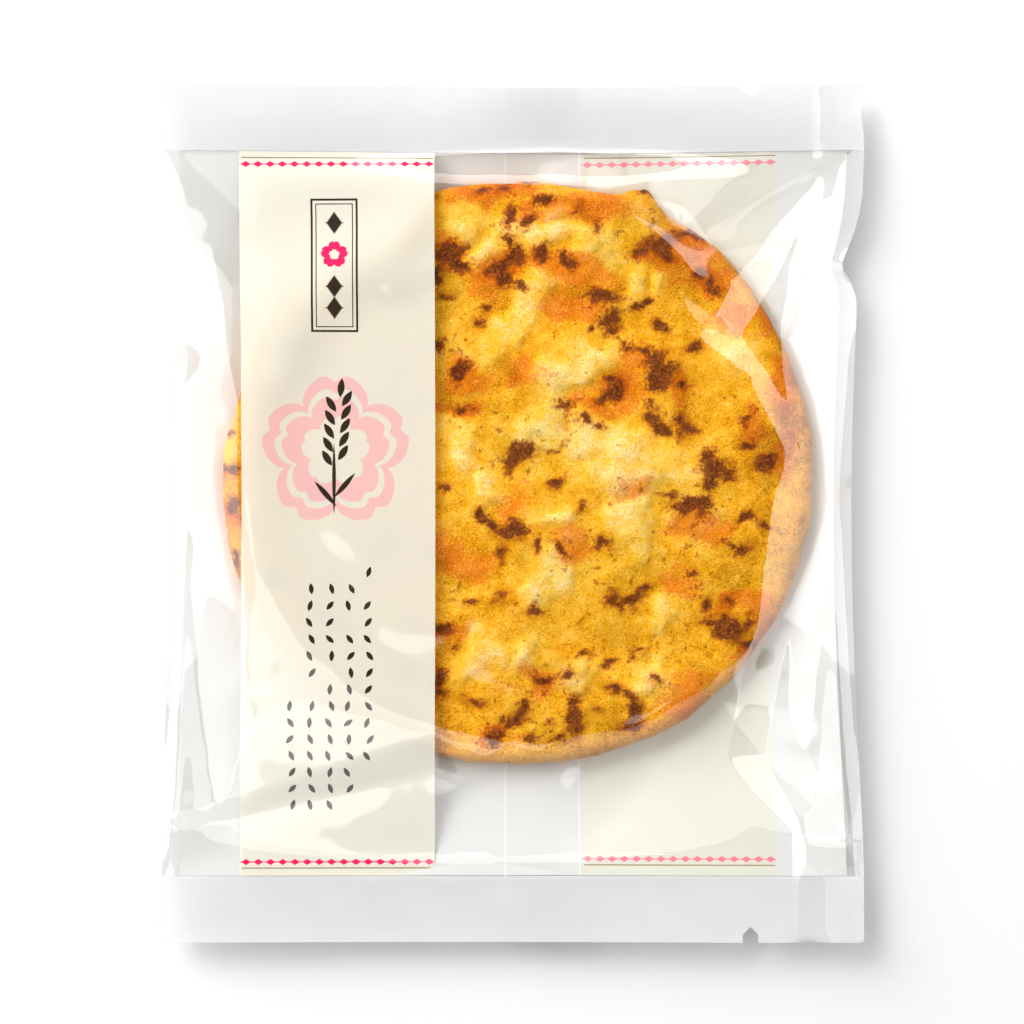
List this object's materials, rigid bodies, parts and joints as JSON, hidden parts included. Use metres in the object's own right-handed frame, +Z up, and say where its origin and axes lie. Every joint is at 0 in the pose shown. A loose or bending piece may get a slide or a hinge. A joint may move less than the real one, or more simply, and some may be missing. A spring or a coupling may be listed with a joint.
{
  "type": "japanese rice cracker in a clear pack",
  "caption": "Large round baked rice cracker sealed in a puffed clear film pillow pack with flat end seals, lying on its back.",
  "frame": {"origin": "centre of the pack's outline, on the table under its back", "axes": "+X to the pack's right seen from the front, +Y towards the top end seal, +Z up out of the front film"},
  "size_m": [0.1304, 0.1596, 0.0096],
  "materials": {
    "printed_film": "clear glossy packaging film, printed ivory and white",
    "baked_rice": "golden baked rice dough with a thin soy glaze and dark toasted spots"
  },
  "bodies": {
    "root": {"cracker_pack": "printed_film"}
  },
  "joints": []
}
